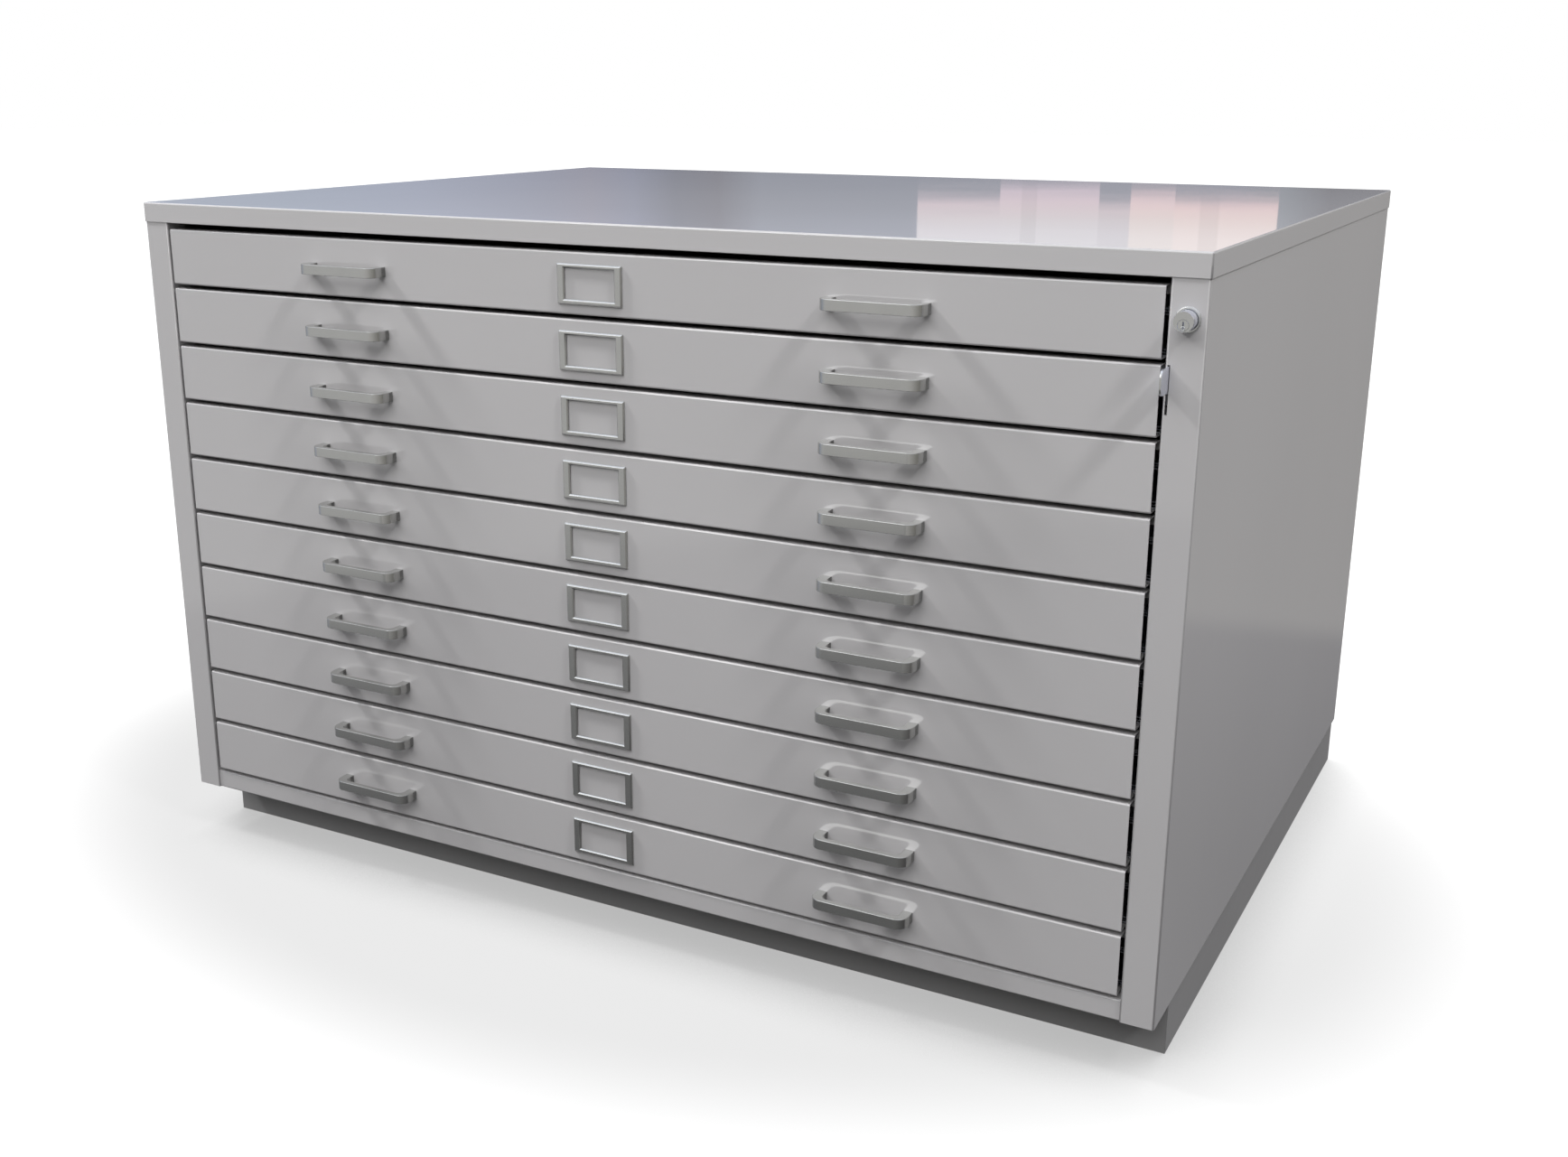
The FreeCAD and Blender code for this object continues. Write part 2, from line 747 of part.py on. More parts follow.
def make_bar_guides():
    """Blocks fixed behind the stile that the locking bar slides through."""
    guides = []
    for number in (9, 6, 3):
        low = f"({drawer_bottom(number)} + drawer_pitch + guide_clearance)"
        outer_x = (f"{STILE_EDGE} + wall", f"{STILE_EDGE} + wall + guide_width")
        blank = block(f"guide_blank_{number}", outer_x,
                      (f"{BAR_Y} - 3", f"{BAR_Y} + bar_depth + 3"), (low, f"{low} + guide_height"))
        way = block(
            f"guide_way_{number}",
            (f"{BAR_X} - guide_clearance", f"{BAR_X} + bar_sheet + guide_clearance"),
            (f"{BAR_Y} - guide_clearance", f"{BAR_Y} + bar_depth + guide_clearance"),
            (f"{low} - 1", f"{low} + guide_height + 1"),
        )
        guides.append(cut(f"guide_{number}", blank, way))
    node("lock_bar_guides", group("lock_bar_guide_set", *guides))


# ---------------------------------------------------------------- build and write

def check_document():
    """Stops if any object failed, or a sub-part has no valid solid."""
    for thing in doc.Objects:
        if any(word in state for state in thing.State for word in ("Invalid", "Error")):
            raise RuntimeError(f"{thing.Name} failed: {thing.State}")
    for name, thing in nodes.items():
        shape = thing.Shape
        if shape.isNull() or not shape.isValid() or not shape.Solids:
            raise RuntimeError(f"{name} has no valid solid")


def write_parts():
    os.makedirs("parts", exist_ok=True)
    for name, thing in nodes.items():
        thing.Shape.exportStep(f"parts/{name}.step")


fill_sheet()
make_top_panel()
make_carcass()
make_rails()
make_plinth()
make_rear_posts()
make_cabinet_channels()
make_drawers()
make_lock()
make_locking_bar()
make_bar_guides()
doc.recompute()
check_document()
write_parts()
print(len(nodes), "sub-parts,", sum(len(thing.Shape.Solids) for thing in nodes.values()), "solids")
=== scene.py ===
import json
import math

import bpy
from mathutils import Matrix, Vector


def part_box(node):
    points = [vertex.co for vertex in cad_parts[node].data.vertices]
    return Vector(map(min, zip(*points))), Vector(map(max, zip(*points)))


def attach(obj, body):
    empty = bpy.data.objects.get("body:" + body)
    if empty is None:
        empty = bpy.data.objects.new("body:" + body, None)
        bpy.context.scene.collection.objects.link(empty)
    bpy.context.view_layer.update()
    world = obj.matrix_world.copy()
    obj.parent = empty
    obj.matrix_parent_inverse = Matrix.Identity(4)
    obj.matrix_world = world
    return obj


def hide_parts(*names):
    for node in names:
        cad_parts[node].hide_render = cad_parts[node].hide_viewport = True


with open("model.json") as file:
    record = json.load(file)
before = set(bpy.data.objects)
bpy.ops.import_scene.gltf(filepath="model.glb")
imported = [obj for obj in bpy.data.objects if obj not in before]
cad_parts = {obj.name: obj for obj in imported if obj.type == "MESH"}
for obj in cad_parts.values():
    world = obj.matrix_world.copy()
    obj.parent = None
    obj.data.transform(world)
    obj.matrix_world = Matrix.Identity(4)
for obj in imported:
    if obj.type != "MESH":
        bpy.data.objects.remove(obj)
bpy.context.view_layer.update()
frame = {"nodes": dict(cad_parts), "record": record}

# Looks of the flat file cabinet, in metres.  The drawers open towards -Y, and drawer 01 is the top one.
DRAWERS = range(1, 11)
LEFT, RIGHT = -1, 1
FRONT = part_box("side_panel_left")[0].y
# sheet that the drawers' fronts are folded from
FRONT_SHEET = 0.0012
# A drawer's rail: its faces lie less than RAIL_REACH inside the slide channel, 0.1 mm short of the tray's
# side, and no more than RAIL_SLACK in front of the channel's end.
RAIL_REACH = 0.0031
RAIL_SLACK = 0.001
# how much the CAD nodes' sharp edges are eased, where EDGES doesn't say otherwise
EASED = 0.0003
EDGES = {"lock_button": 0.0006, "lock_lever": 0.0007}

# handles, whose places come from the frame
HANDLE_LENGTH = 0.1157
HANDLE_BAR = 0.007
HANDLE_LEG = 0.0114
HANDLE_OUTER_BEND = 0.013
HANDLE_INNER_BEND = 0.008
HANDLE_EDGE = 0.0005
SCREW_HEAD = 0.004
SCREW_HEAD_HEIGHT = 0.0024

# lock: insets from the ring's outer radius, height of its step, and the rim at the foot of the key slot
BORE_INSET = 0.00255
SLEEVE_INSET = 0.0017
RING_STEP = 0.0009
RING_ROUND = 0.0003
KEY_RIM_DROP = 0.0029
KEY_RIM_RADIUS = 0.0018
KEY_RIM_THICKNESS = 0.00045

# camera, measured from the front, bottom, left corner of the body, its angles in radians
CAMERA_OFFSET = Vector((1.7161, -1.5525, 0.9435))
CAMERA_TURN = 0.4996
CAMERA_TILT = -0.2863
CAMERA_LENS = 38.68
CAMERA_SHIFT = (0.0249, -0.0016)

# where the lights point: near the middle of the cabinet's front
TARGET = Vector((0, FRONT, 0.45))

# the pool of shade on the floor: how far its middle lies to the left, and its depth for a width of 1
POOL_LEFT = 0.1
POOL_DEPTH = 0.8

# What the paint reflects, each (position, colour): once round the room from the front, by the left,
# the back and the right, first above the line where its walls meet its floor and then below it.
# The room is made up, but WALLS, PANES and PANE_LIGHT follow tones sampled in the photo.
WALLS = [
    (0.00, (0.66, 0.65, 0.64)),
    (0.13, (0.70, 0.70, 0.70)),
    (0.22, (0.50, 0.53, 0.60)),
    (0.31, (0.29, 0.34, 0.44)),
    (0.379, (0.195, 0.25, 0.35)),
    (0.390, (0.19, 0.23, 0.34)),
    (0.402, (0.14, 0.16, 0.245)),
    (0.408, (0.14, 0.136, 0.20)),
    (0.412, (0.07, 0.108, 0.205)),
    (0.415, (0.02, 0.02, 0.04)),
    (0.418, (0.035, 0.038, 0.07)),
    (0.422, (0.11, 0.13, 0.18)),
    (0.465, (0.117, 0.133, 0.19)),
    (0.469, (0.11, 0.13, 0.16)),
    (0.473, (0.015, 0.015, 0.03)),
    (0.495, (0.11, 0.12, 0.14)),
    (0.515, (0.30, 0.29, 0.28)),
    (0.75, (0.30, 0.29, 0.27)),
    (1.00, (0.66, 0.65, 0.64)),
]
GROUND = [
    (0.00, (0.17, 0.17, 0.17)),
    (0.25, (0.17, 0.17, 0.18)),
    (0.50, (0.085, 0.082, 0.085)),
    (0.75, (0.085, 0.082, 0.085)),
    (1.00, (0.17, 0.17, 0.17)),
]
CEILING = (1.30, 1.36, 1.50, 1)
# sine of the height where the walls meet the floor: at the start of the round and from 0.16 of it on
WALL_FOOT = (-0.224, -0.298)
# windows behind the cabinet, in degrees: left, right and bottom, and the tint of their light
PANES = [
    (-22.9, -20.2, 3.78, (1.00, 0.98, 1.00)),
    (-20.2, -17.0, 3.33, (1.00, 0.99, 1.00)),
    (-17.0, -16.0, 3.85, (0.92, 0.90, 0.92)),
    (-16.0, -14.6, 3.50, (1.20, 1.10, 1.02)),
    (-14.6, -11.4, 3.75, (1.30, 1.14, 1.05)),
]
PANE_TOP = 15
# the panes' light from their foot upwards: (sine of the height, colour)
PANE_LIGHT = [
    (0.058, (0.50, 0.41, 0.50)),
    (0.066, (0.60, 0.45, 0.50)),
    (0.071, (0.60, 0.48, 0.50)),
    (0.076, (0.55, 0.50, 0.50)),
    (0.082, (0.62, 0.59, 0.62)),
    (0.088, (0.68, 0.67, 0.70)),
]
# thin uprights in the windows, in degrees: middle and half width
UPRIGHTS = [(-19.25, 0.25), (-13.5, 0.3)]
BLIND_PITCH = 0.0059
# light that matt surfaces get from all round, from straight down to straight up
FILL = [
    (0.0, (0.08, 0.08, 0.08)),
    (0.5, (0.095, 0.095, 0.095)),
    (1.0, (0.16, 0.16, 0.16)),
]


# ---------------------------------------------------------------- materials

class Graph:
    """A node tree with short ways to add nodes and sums to it."""

    def __init__(self, tree):
        self.tree = tree

    def add(self, kind, sockets=(), **properties):
        """A new node; sockets gives its inputs, by name or number, as values or as other nodes' outputs."""
        node = self.tree.nodes.new("ShaderNode" + kind)
        for name, value in properties.items():
            setattr(node, name, value)
        for name, value in dict(sockets).items():
            if isinstance(value, bpy.types.NodeSocket):
                self.tree.links.new(value, node.inputs[name])
            else:
                node.inputs[name].default_value = value
        return node

    def math(self, operation, *values):
        return self.add("Math", dict(enumerate(values)), operation=operation).outputs[0]

    def between(self, source, low, high, start=0.3, end=0.7, smooth=False):
        """source's range from start to end, spread from low to high."""
        sockets = {"Value": source, "From Min": start, "From Max": end, "To Min": low, "To Max": high}
        kind = "SMOOTHSTEP" if smooth else "LINEAR"
        return self.add("MapRange", sockets, interpolation_type=kind).outputs["Result"]

    def mix(self, factor, first, second, blend="MIX"):
        sockets = {0: factor, 6: first, 7: second}
        return self.add("Mix", sockets, data_type="RGBA", blend_type=blend).outputs[2]

    def ramp(self, factor, stops):
        """Colours at positions from 0 to 1."""
        node = self.add("ValToRGB", {"Fac": factor})
        elements = node.color_ramp.elements
        while len(elements) < len(stops):
            elements.new(1.0)
        for element, (position, colour) in zip(elements, stops):
            element.position = position
            element.color = (*colour, 1)
        return node.outputs["Color"]


class Surface(Graph):
    """A material being put together: its Principled shader and the nodes that feed it."""

    def __init__(self, name, **settings):
        self.material = bpy.data.materials.new(name)
        self.material.use_nodes = True
        super().__init__(self.material.node_tree)
        self.shader = self.tree.nodes["Principled BSDF"]
        self.place = self.add("TexCoord").outputs["Object"]
        for socket, value in settings.items():
            self.shader.inputs[socket.replace("_", " ")].default_value = value

    def feed(self, socket, source):
        self.tree.links.new(source, self.shader.inputs[socket])

    def noise(self, scale, detail=2.0, stretch=(1, 1, 1)):
        """Noise in the row frame's metres, from 0 to 1, drawn out where stretch is small."""
        mapping = self.add("Mapping", {"Vector": self.place, "Scale": stretch})
        sockets = {"Vector": mapping.outputs["Vector"], "Scale": scale, "Detail": detail}
        return self.add("TexNoise", sockets).outputs["Fac"]

    def bump(self, height, strength, distance, under=None):
        sockets = {"Height": height, "Strength": strength, "Distance": distance}
        if under is not None:
            sockets["Normal"] = under
        return self.add("Bump", sockets).outputs["Normal"]

    def edges(self, radius):
        """1 along sharp edges and 0 away from them."""
        bevel = self.add("Bevel", {"Radius": radius}, samples=4)
        normal = self.add("NewGeometry").outputs["Normal"]
        dot = self.add("VectorMath", {0: bevel.outputs["Normal"], 1: normal}, operation="DOT_PRODUCT")
        return self.between(dot.outputs["Value"], 1, 0, 0.75, 0.99)


def tinted(colour, factor):
    return tuple(channel * factor for channel in colour) + (1,)


def paint(name, colour, roughness, gloss=1.8, top_shade=0.85):
    """Semi-gloss powder coat: faint clouding, orange peel, and painted shade in patches along sharp edges.
    Painted shade makes faces that look up darker, by the factor that comes last, and makes upright folds
    darker too."""
    surface = Surface(name, IOR=gloss)
    cloud = surface.between(surface.noise(2.6, 3), 0, 1)
    body = surface.mix(cloud, tinted(colour, 0.985), tinted(colour, 1.015))
    normal = surface.add("NewGeometry").outputs["Normal"]
    x, y, rise = surface.add("SeparateXYZ", {0: normal}).outputs
    # painted shade: faces that look up, and upright folds, are made darker by which way they face
    corner = surface.math("ABSOLUTE", surface.math("MULTIPLY", x, y))
    painted_top_shade = surface.between(rise, 1, top_shade, 0.2, 0.8)
    painted_fold_shade = surface.between(corner, 1, 0.6, 0.05, 0.4)
    body = surface.mix(1.0, body, surface.math("MULTIPLY", painted_top_shade, painted_fold_shade), "MULTIPLY")
    # painted shade: sharp edges are made darker, in patches
    patchy = surface.between(surface.noise(60, 3), 0.7, 1)
    painted_edge_shade = surface.math("MULTIPLY", surface.edges(0.0006), patchy)
    surface.feed("Base Color", surface.mix(painted_edge_shade, body, tinted(colour, 0.72)))
    surface.feed("Roughness", surface.between(surface.noise(9, 4), roughness * 0.85, roughness * 1.2))
    fine = surface.bump(surface.noise(900, 1), 0.012, 0.0001)
    surface.feed("Normal", surface.bump(surface.noise(5, 1), 0.02, 0.004, fine))
    return surface.material


def satin_metal(name, colour, roughness, grain, lines=(60, 2500, 2500), side=(1, 1, 1)):
    """Plated metal with the fine lines of its brushing, drawn out along X unless lines says otherwise.
    side is a painted highlight: it tints what doesn't face along Y."""
    surface = Surface(name, Metallic=1.0)
    streak = surface.noise(1, 2, lines)
    cloud = surface.noise(25, 3)
    body = surface.mix(surface.between(cloud, 0, 1), tinted(colour, 0.97), tinted(colour, 1.03))
    normal = surface.add("NewGeometry").outputs["Normal"]
    facing = surface.math("ABSOLUTE", surface.add("SeparateXYZ", {0: normal}).outputs[1])
    # painted highlight: what doesn't face along Y is tinted by side
    tint = surface.mix(surface.between(facing, 0, 1, 0.2, 0.8), (*side, 1), (1, 1, 1, 1))
    surface.feed("Base Color", surface.mix(1.0, body, tint, "MULTIPLY"))
    surface.feed("Roughness", surface.between(streak, roughness - grain, roughness + grain))
    surface.feed("Normal", surface.bump(streak, 0.02, 0.00002))
    return surface.material


def zinc():
    """Zinc plate on the slides: bluish, with a soft spangle and rubbed tracks along the travel."""
    surface = Surface("zinc_plate", Metallic=1.0)
    cells = surface.add("TexVoronoi", {"Vector": surface.place, "Scale": 160.0}).outputs["Color"]
    grey = surface.add("RGBToBW", {"Color": cells}).outputs["Val"]
    colour = surface.mix(grey, (0.42, 0.45, 0.50, 1), (0.60, 0.62, 0.66, 1))
    surface.feed("Base Color", colour)
    tracks = surface.noise(1, 2, (300, 3, 300))
    surface.feed("Roughness", surface.between(tracks, 0.28, 0.45))
    surface.feed("Normal", surface.bump(grey, 0.05, 0.0001))
    return surface.material


def nylon():
    surface = Surface("black_nylon")
    colour = surface.mix(surface.noise(80, 3), (0.012, 0.012, 0.013, 1), (0.03, 0.03, 0.032, 1))
    surface.feed("Base Color", colour)
    surface.feed("Roughness", surface.between(surface.noise(400, 2), 0.5, 0.62))
    surface.feed("Normal", surface.bump(surface.noise(700, 2), 0.1, 0.0002))
    return surface.material


def floor_material():
    """Pale studio floor: white past a soft pool of shade round the cabinet, darker where it stands."""
    surface = Surface("studio_floor", Roughness=0.9, Specular_IOR_Level=0.0, Emission_Strength=1.0)
    shade = surface.mix(surface.noise(1.5, 2), (0.049, 0.049, 0.049, 1), (0.051, 0.051, 0.051, 1))
    surface.feed("Base Color", shade)
    sockets = {"Vector": surface.place, "Scale": (1, 1 / POOL_DEPTH, 1), "Location": (POOL_LEFT, 0, 0)}
    pool = surface.add("Mapping", sockets).outputs[0]
    distance = surface.add("VectorMath", {0: pool}, operation="LENGTH").outputs["Value"]
    lift = surface.between(distance, 0.74, 1.06, 0.87, 1.20, smooth=True)
    # painted light: the painted pool of shade is lighter towards the back
    back = surface.add("SeparateXYZ", {0: surface.place}).outputs[1]
    lift = surface.math("ADD", lift, surface.between(back, 0, 0.12, -0.3, 0.4))
    # painted shade: the floor's glow is darker where the cabinet shelters it, from ambient occlusion
    open_sky = surface.add("AmbientOcclusion", {"Distance": 0.16}, samples=8).outputs["AO"]
    shelter = surface.between(open_sky, 0.64, 1, 0.36, 0.75)
    surface.feed("Emission Color", surface.math("MULTIPLY", lift, shelter))
    return surface.material


PAINT = (0.514, 0.502, 0.504)
PLINTH = (0.30, 0.296, 0.296)
# painted highlight: the lock's sides are made lighter and bluer than its face
LOCK_PAINTED_HIGHLIGHT = (1.6, 1.63, 1.85)
MATERIALS = {
    # top_paint's last number sets the painted shade on faces that look up
    "top_paint": paint("top_paint", PAINT, 0.045, 2.0, 0.68),
    "cabinet_paint": paint("cabinet_paint", PAINT, 0.05),
    "drawer_paint": paint("drawer_paint", PAINT, 0.05),
    "plinth_paint": paint("plinth_paint", PLINTH, 0.35, 1.5),
    "handle_metal": satin_metal("satin_handle", (0.50, 0.503, 0.487), 0.18, 0.02),
    "lock_metal": satin_metal("satin_nickel", (0.54, 0.545, 0.53), 0.25, 0.02, (900, 900, 900), LOCK_PAINTED_HIGHLIGHT),
    "slide_zinc": zinc(),
    "guide_nylon": nylon(),
}


# ---------------------------------------------------------------- CAD nodes

def finish_node(node, slot, edge):
    """Gives a CAD node its material, and eases its sharp edges by a fraction of a millimetre."""
    piece = frame["nodes"][node]
    piece.data.materials.clear()
    piece.data.materials.append(MATERIALS[slot])
    weld = piece.modifiers.new("weld", "WELD")
    weld.merge_threshold = 1e-6
    bevel = piece.modifiers.new("eased_edges", "BEVEL")
    bevel.width = edge
    bevel.segments = 2
    bevel.limit_method = "ANGLE"
    bevel.angle_limit = math.radians(40)
    bevel.use_clamp_overlap = True
    bevel.harden_normals = True


for part in frame["record"]["subparts"]:
    node = part["node"]
    edge = next((width for word, width in EDGES.items() if word in node), EASED)
    finish_node(node, part["material_slot"], edge)


def plate_rails(number):
    """Gives the slide rails that are fixed to a drawer's sides their zinc."""
    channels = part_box("slide_channels_right")[0]
    side, front = channels.x - RAIL_REACH, channels.y - RAIL_SLACK
    box = frame["nodes"][f"drawer_{number:02d}_box"]
    box.data.materials.append(MATERIALS["slide_zinc"])
    for face in box.data.polygons:
        centre = box.matrix_world @ face.center
        if abs(centre.x) > side and centre.y > front:
            face.material_index = 1


for number in DRAWERS:
    plate_rails(number)


# ---------------------------------------------------------------- pieces made here

def new_piece(name, points, faces, slot, body):
    """A smooth piece with the material of its slot, which moves with its body."""
    mesh = bpy.data.meshes.new(name)
    mesh.from_pydata(points, [], faces)
    mesh.validate()
    mesh.polygons.foreach_set("use_smooth", [True] * len(mesh.polygons))
    mesh.materials.append(MATERIALS[slot])
    piece = bpy.data.objects.new(name, mesh)
    bpy.context.scene.collection.objects.link(piece)
    weighted = piece.modifiers.new("flat_faces", "WEIGHTED_NORMAL")
    weighted.keep_sharp = True
    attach(piece, body)
    return piece


def arc(centre, radius, start, end, steps):
    """Points and outward normals round an arc, angles in degrees."""
    found = []
    for step in range(steps + 1):
        angle = math.radians(start + (end - start) * step / steps)
        normal = Vector((math.cos(angle), math.sin(angle)))
        found.append((Vector(centre) + radius * normal, normal))
    return found


def inward(chain):
    """The same points, with their normals turned round."""
    return [(point, -normal) for point, normal in chain]


def handle_chains(steps=12):
    """The handle seen from above, about the middle of its feet: its outer and inner edges."""
    half, inner = HANDLE_LENGTH / 2, HANDLE_LENGTH / 2 - HANDLE_LEG
    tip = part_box("drawer_01_handles")[0].y - FRONT
    back = tip + HANDLE_BAR
    bend = HANDLE_OUTER_BEND
    outer = [(Vector((-half, 0)), Vector((-1, 0)))]
    outer += arc((bend - half, tip + bend), bend, 180, 270, steps)
    outer += arc((half - bend, tip + bend), bend, 270, 360, steps)
    outer += [(Vector((half, 0)), Vector((1, 0)))]
    bend = HANDLE_INNER_BEND
    hollow = [(Vector((-inner, 0)), Vector((1, 0)))]
    hollow += inward(arc((bend - inner, back + bend), bend, 180, 270, steps))
    hollow += inward(arc((inner - bend, back + bend), bend, 270, 360, steps))
    hollow += [(Vector((inner, 0)), Vector((-1, 0)))]
    return outer, hollow


def handle_mesh(height, rounds=4):
    """Points and faces of the bent flat bar, its long edges rounded."""
    outer, hollow = handle_chains()
    count = len(outer)
    ring = outer + hollow[::-1]
    levels = []
    for step in range(rounds + 1):
        angle = math.radians(90 * step / rounds)
        levels.append((HANDLE_EDGE * (1 - math.sin(angle)), HANDLE_EDGE * (1 - math.cos(angle))))
    levels = [(inset, rise - height / 2) for inset, rise in levels]
    levels += [(inset, -rise) for inset, rise in reversed(levels)]
    points = []
    for inset, rise in levels:
        place = Vector((0, FRONT, rise))
        points += [(point - inset * normal).to_3d() + place for point, normal in ring]
    size = len(ring)
    faces = []
    for level in range(len(levels) - 1):
        for index in range(size):
            low, following = level * size, (index + 1) % size
            faces.append((low + index, low + following, low + size + following, low + size + index))
    last = (len(levels) - 1) * size
    for index in range(count - 1):
        across = (index, index + 1, size - 2 - index, size - 1 - index)
        faces.append(tuple(reversed(across)))
        faces.append(tuple(last + corner for corner in across))
    return points, faces


def screw_mesh(sides=24):
    """A pan head with a hexagon socket, its seat in the plane y = 0 and its top towards +Y."""
    socket, depth = 0.0014, 0.0012
    profile = [(SCREW_HEAD, 0), (SCREW_HEAD, 0.0012), (SCREW_HEAD * 0.9, 0.002),
               (SCREW_HEAD * 0.6, SCREW_HEAD_HEIGHT)]
    points, faces = [], []
    for radius, rise in profile:
        points += [turned(radius, rise, index, sides) for index in range(sides)]
    for rise in (SCREW_HEAD_HEIGHT, SCREW_HEAD_HEIGHT - depth):
        for index in range(sides):
            sector = (360 * index / sides) % 60 - 30
            points.append(turned(socket / math.cos(math.radians(sector)), rise, index, sides))
    for level in range(len(profile) + 1):
        faces += ring_faces(level, sides)
    faces.append(tuple((len(profile) + 1) * sides + index for index in range(sides)))
    return points, faces


def turned(radius, rise, index, sides):
    """A point on a lathed ring round the Y axis."""
    angle = 2 * math.pi * index / sides
    return Vector((radius * math.cos(angle), rise, radius * math.sin(angle)))


def ring_faces(level, sides):
    """The faces between one lathed ring and the next."""
    low, high = level * sides, (level + 1) * sides
    faces = []
    for index in range(sides):
        following = (index + 1) % sides
        faces.append((low + index, high + index, high + following, low + following))
    return faces


def make_handles(number):
    """A drawer's two handles, in place of the CAD ones, and the heads of the screws that hold them."""
    node = f"drawer_{number:02d}_handles"
    body = f"drawer_{number:02d}"
    low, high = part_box(node)
    spacing = high.x - low.x - HANDLE_LENGTH
    middle = (low.z + high.z) / 2
    points, faces = handle_mesh(high.z - low.z)
    screw_points, screw_faces = screw_mesh()
    heads, head_faces = [], []
    for side, word in ((LEFT, "left"), (RIGHT, "right")):
        centre = side * spacing / 2
        moved = [point + Vector((centre, 0, middle)) for point in points]
        piece = new_piece(f"drawer_{number:02d}_handle_{word}", moved, faces, "handle_metal", body)
        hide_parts(node)
        for foot in (LEFT, RIGHT):
            seat = Vector((centre + foot * (HANDLE_LENGTH - HANDLE_LEG) / 2, FRONT + FRONT_SHEET, middle))
            first = len(heads)
            heads += [point + seat for point in screw_points]
            head_faces += [tuple(first + corner for corner in face) for face in screw_faces]
    new_piece(f"drawer_{number:02d}_handle_screws", heads, head_faces, "slide_zinc", body)


for number in DRAWERS:
    make_handles(number)


def lathe(profile, centre, sides=96):
    """Points and faces of a profile of (radius, Y) pairs turned round the Y axis through centre."""
    points, faces = [], []
    for radius, rise in profile:
        points += [turned(radius, rise, index, sides) + centre for index in range(sides)]
    for level in range(len(profile) - 1):
        faces += ring_faces(level, sides)
    return points, faces


def rounded_profile(corners, radius, steps=3):
    """The corners of a profile, each but the first and last cut back to a small round."""
    found = [corners[0]]
    for before, corner, after in zip(corners, corners[1:], corners[2:]):
        before, corner, after = Vector(before), Vector(corner), Vector(after)
        start = corner + (before - corner).normalized() * radius
        end = corner + (after - corner).normalized() * radius
        for step in range(steps + 1):
            along = step / steps
            curve = start * (1 - along) ** 2 + corner * (2 * along * (1 - along)) + end * along ** 2
            found.append(tuple(curve))
    return found + [corners[-1]]


def make_lock_housing():
    """A stepped ring on the stile, and the sleeve behind it that the barrel slides in."""
    low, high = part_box("lock_housing")
    outer = (high.x - low.x) / 2
    bore, sleeve = outer - BORE_INSET, outer - SLEEVE_INSET
    collar, step = outer - RING_STEP, FRONT - RING_STEP
    corners = [
        (bore, high.y),
        (bore, low.y),
        (collar, low.y),
        (collar, step),
        (outer, step),
        (outer, FRONT),
        (sleeve, FRONT),
        (sleeve, high.y),
    ]
    profile = rounded_profile(corners, RING_ROUND)
    middle = (low + high) / 2
    points, faces = lathe(profile + [corners[0]], Vector((middle.x, 0, middle.z)))
    piece = new_piece("lock_ring", points, faces, "lock_metal", "cabinet")
    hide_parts("lock_housing")


def make_key_rim():
    """The small bright rim round the foot of the key slot."""
    low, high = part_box("lock_key_plug")
    middle = (low + high) / 2
    centre = Vector((middle.x, low.y, middle.z - KEY_RIM_DROP))
    section = arc((KEY_RIM_RADIUS, 0), KEY_RIM_THICKNESS, 0, 360, 12)
    points, faces = lathe([point for point, normal in section], centre, 40)
    new_piece("lock_key_rim", points, faces, "lock_metal", "lock_key_plug")


make_lock_housing()
make_key_rim()


# ---------------------------------------------------------------- floor, light and camera

def make_floor():
    """A wide floor that lights nothing and doesn't show in glossy surfaces."""
    mesh = bpy.data.meshes.new("floor")
    reach = 30
    corners = [(-reach, -reach, 0), (reach, -reach, 0), (reach, reach, 0), (-reach, reach, 0)]
    mesh.from_pydata(corners, [], [(0, 1, 2, 3)])
    mesh.materials.append(floor_material())
    floor = bpy.data.objects.new("floor", mesh)
    bpy.context.scene.collection.objects.link(floor)
    floor.visible_glossy = False
    floor.visible_diffuse = False


def make_light(name, direction, distance, size, power, in_gloss=False):
    """A soft box that points at TARGET.  It lights matt surfaces, or only shows in glossy ones."""
    data = bpy.data.lights.new(name, "AREA")
    data.shape = "RECTANGLE"
    data.size, data.size_y = size
    data.energy = power
    light = bpy.data.objects.new(name, data)
    bpy.context.scene.collection.objects.link(light)
    towards = Vector(direction).normalized()
    light.location = TARGET + towards * distance
    light.rotation_euler = towards.to_track_quat("Z", "Y").to_euler()
    light.visible_camera = False
    light.visible_diffuse = not in_gloss
    light.visible_glossy = in_gloss


def room(graph, direction):
    """The colours that glossy surfaces reflect: walls, floor, ceiling and windows."""
    x, y, height = graph.add("SeparateXYZ", {0: direction}).outputs
    turn = graph.math("ARCTAN2", x, y)
    around = graph.between(turn, 0, 1, -math.pi, math.pi)
    foot = graph.between(around, *WALL_FOOT, 0, 0.16)
    above = graph.between(graph.math("SUBTRACT", height, foot), 0, 1, -0.008, 0.008, smooth=True)
    brighter = graph.between(height, 0.95, 1.7, 0.07, 0.10)
    walls = graph.mix(1.0, graph.ramp(around, WALLS), brighter, "MULTIPLY")
    walls = graph.mix(graph.between(height, 0, 1, 0.34, 0.75, smooth=True), walls, CEILING)
    further = graph.between(height, 1, 1.9, -0.42, -0.30)
    ground = graph.mix(1.0, graph.ramp(around, GROUND), further, "MULTIPLY")
    return with_windows(graph, graph.mix(above, ground, walls), turn, height)


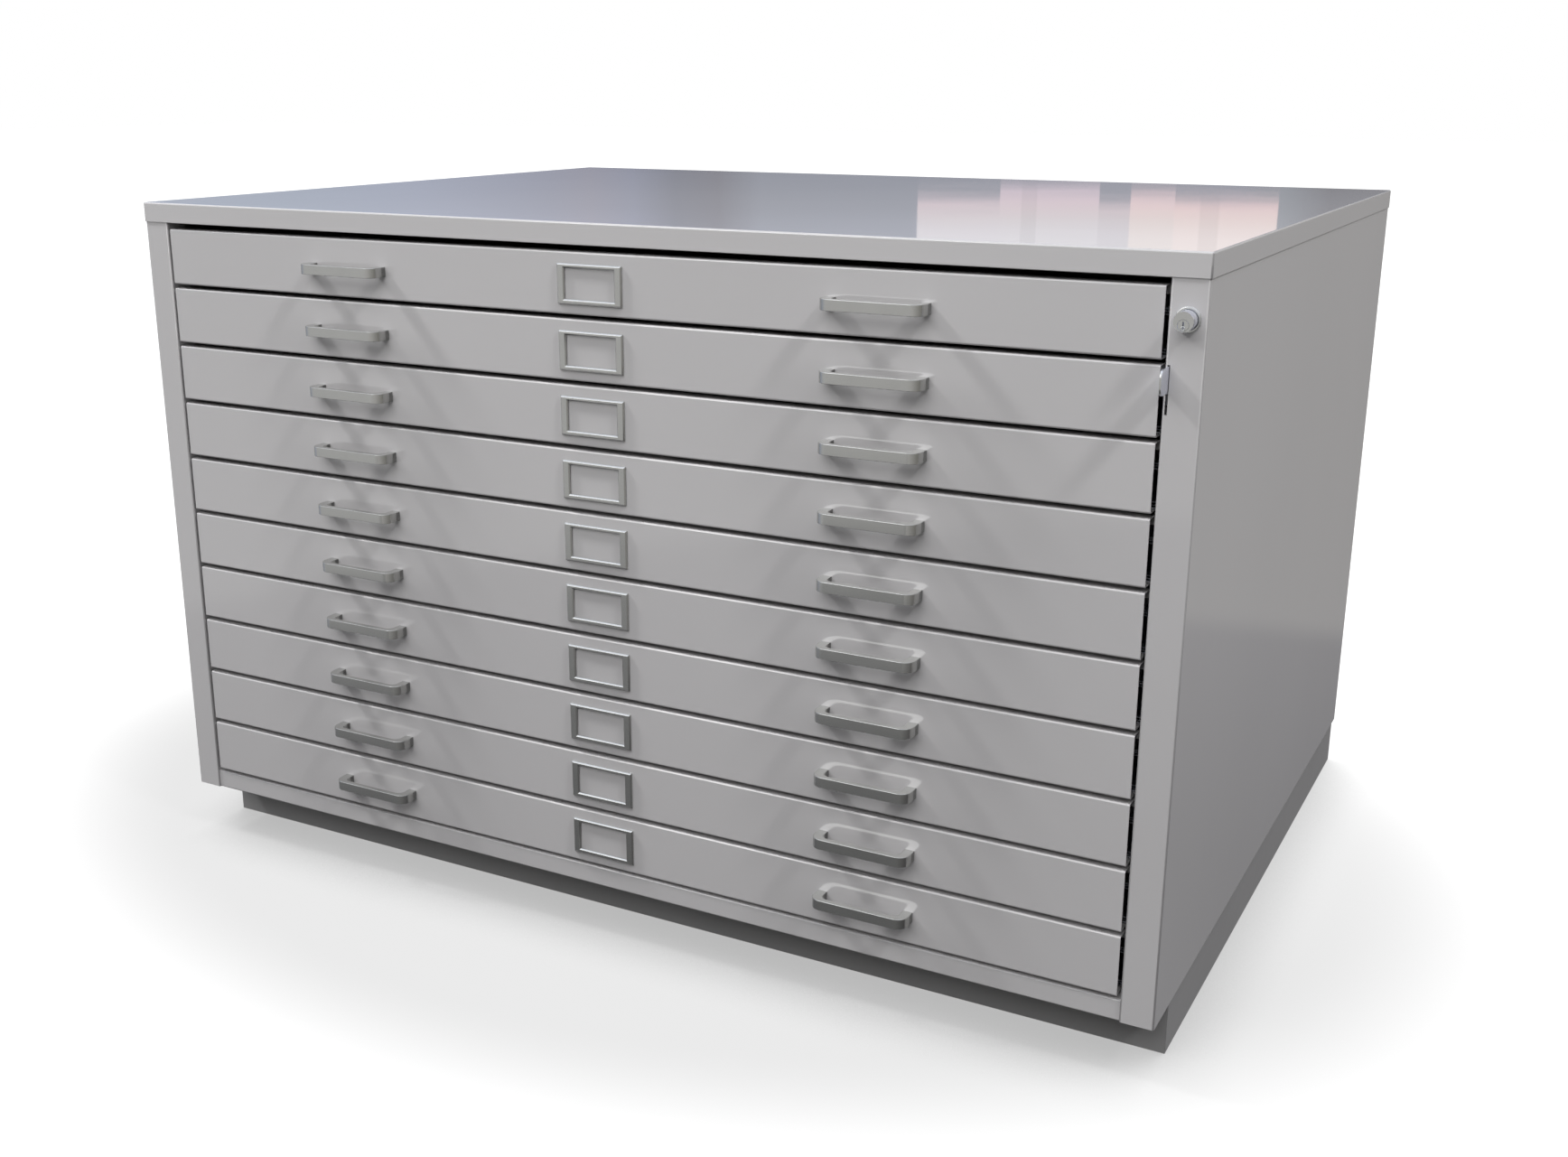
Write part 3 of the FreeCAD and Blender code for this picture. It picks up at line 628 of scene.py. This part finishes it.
def with_windows(graph, colour, turn, height):
    """The room's colour with the panes over it: their light from PANE_LIGHT, with blinds and uprights."""
    light = graph.ramp(height, PANE_LIGHT)
    blinds = graph.math("SINE", graph.math("MULTIPLY", height, 2 * math.pi / BLIND_PITCH))
    light = graph.mix(1.0, light, graph.between(blinds, 0.95, 1.05, -1, 1), "MULTIPLY")
    for middle, half in UPRIGHTS:
        upright = graph.math("COMPARE", turn, math.radians(middle), math.radians(half))
        light = graph.mix(1.0, light, graph.between(upright, 1, 0.88, 0, 1), "MULTIPLY")
    for left, right, bottom, tint in PANES:
        middle, half = math.radians((left + right) / 2), math.radians((right - left) / 2)
        across = graph.math("COMPARE", turn, middle, half)
        bottom, top = math.sin(math.radians(bottom)), math.sin(math.radians(PANE_TOP))
        up = graph.math("COMPARE", height, (bottom + top) / 2, (top - bottom) / 2)
        pane = graph.mix(1.0, light, (*tint, 1), "MULTIPLY")
        colour = graph.mix(graph.math("MULTIPLY", across, up), colour, pane)
    return colour


def make_world():
    """White past the floor for the camera, a soft fill for matt surfaces, and a room for glossy ones."""
    world = bpy.data.worlds.new("studio")
    bpy.context.scene.world = world
    world.use_nodes = True
    world.node_tree.nodes.clear()
    graph = Graph(world.node_tree)
    direction = graph.add("TexCoord").outputs["Generated"]
    height = graph.add("SeparateXYZ", {0: direction}).outputs[2]
    fill = graph.add("Background", {"Color": graph.ramp(graph.between(height, 0, 1, -1, 1), FILL)})
    reflected = graph.add("Background", {"Color": room(graph, direction)})
    white = graph.add("Background", {"Color": (1, 1, 1, 1)})
    path = graph.add("LightPath").outputs
    lit = graph.add("MixShader", {0: path["Is Diffuse Ray"], 1: reflected.outputs[0], 2: fill.outputs[0]})
    both = graph.add("MixShader", {0: path["Is Camera Ray"], 1: lit.outputs[0], 2: white.outputs[0]})
    graph.add("OutputWorld", {"Surface": both.outputs[0]})


def make_camera():
    """The photo's view of the cabinet."""
    data = bpy.data.cameras.new("camera")
    data.sensor_width = 36
    data.lens = CAMERA_LENS
    data.shift_x, data.shift_y = CAMERA_SHIFT
    data.clip_end = 200
    camera = bpy.data.objects.new("camera", data)
    bpy.context.scene.collection.objects.link(camera)
    camera.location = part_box("side_panel_left")[0] + CAMERA_OFFSET
    camera.rotation_euler = (math.pi / 2 + CAMERA_TILT, 0, CAMERA_TURN)
    bpy.context.scene.camera = camera


make_floor()
make_world()
make_light("key_left", (-0.655, -0.12, 0.75), 9.0, (0.9, 0.9), 780)
make_light("key_right", (0.64, -0.155, 0.75), 9.0, (0.9, 0.9), 455)
make_light("overhead_front", (0, -0.68, 0.73), 9.0, (8.0, 6.0), 495)
make_light("behind", (0.05, 1.0, 0.15), 9.0, (3.0, 3.0), 260)
make_light("front_box", (-0.40, -0.80, 0.42), 4.8, (2.2, 2.4), 40, in_gloss=True)
make_camera()
bpy.context.scene.view_settings.view_transform = "Standard"
